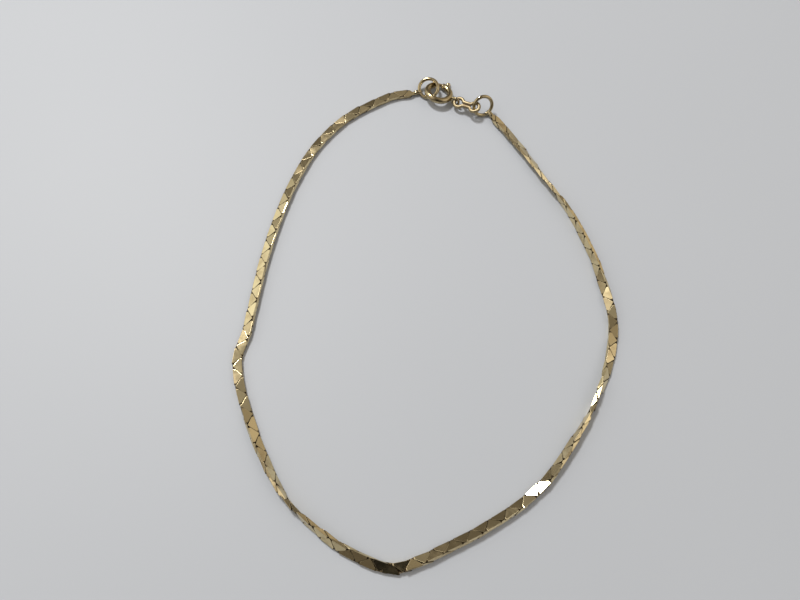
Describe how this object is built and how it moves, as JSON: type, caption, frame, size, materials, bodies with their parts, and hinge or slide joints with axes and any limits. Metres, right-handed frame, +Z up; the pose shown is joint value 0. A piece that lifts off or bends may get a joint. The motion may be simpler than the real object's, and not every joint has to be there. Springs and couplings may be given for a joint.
{
  "type": "flat chain bracelet with spring ring clasp",
  "caption": "Fine flat gold chain bracelet of interlocked faceted links, lying closed in a loose twisted loop, with end rings, a connector link and a spring ring clasp with a sliding trigger.",
  "frame": {"origin": "on the surface that the bracelet lies on, under the middle of its bounding box", "axes": "+Z up from the surface, +Y along the long way of the loop towards the clasp"},
  "size_m": [0.0542, 0.0754, 0.0032],
  "materials": {
    "chain_gold": "polished flat facets with dark worn joints",
    "clasp_gold": "polished wire and tube, lightly scratched",
    "bolt_gold": "worn polish"
  },
  "bodies": {
    "bracelet": {"chain": "chain_gold", "end_ring_left": "clasp_gold", "end_ring_right": "clasp_gold", "spring_ring": "clasp_gold", "connector_link": "clasp_gold"},
    "bolt": {"spring_bolt": "bolt_gold"}
  },
  "joints": [
    {"name": "bolt_slide_round", "type": "hinge", "parent": "bracelet", "child": "bolt", "pos_m": [0.00198, 0.03521, 0.00093], "axis": [-0.113, -0.187, -0.9758], "range_deg": [0, 43], "stiffness_Nm_per_rad": 0.001, "springref_deg": -28.65}
  ]
}
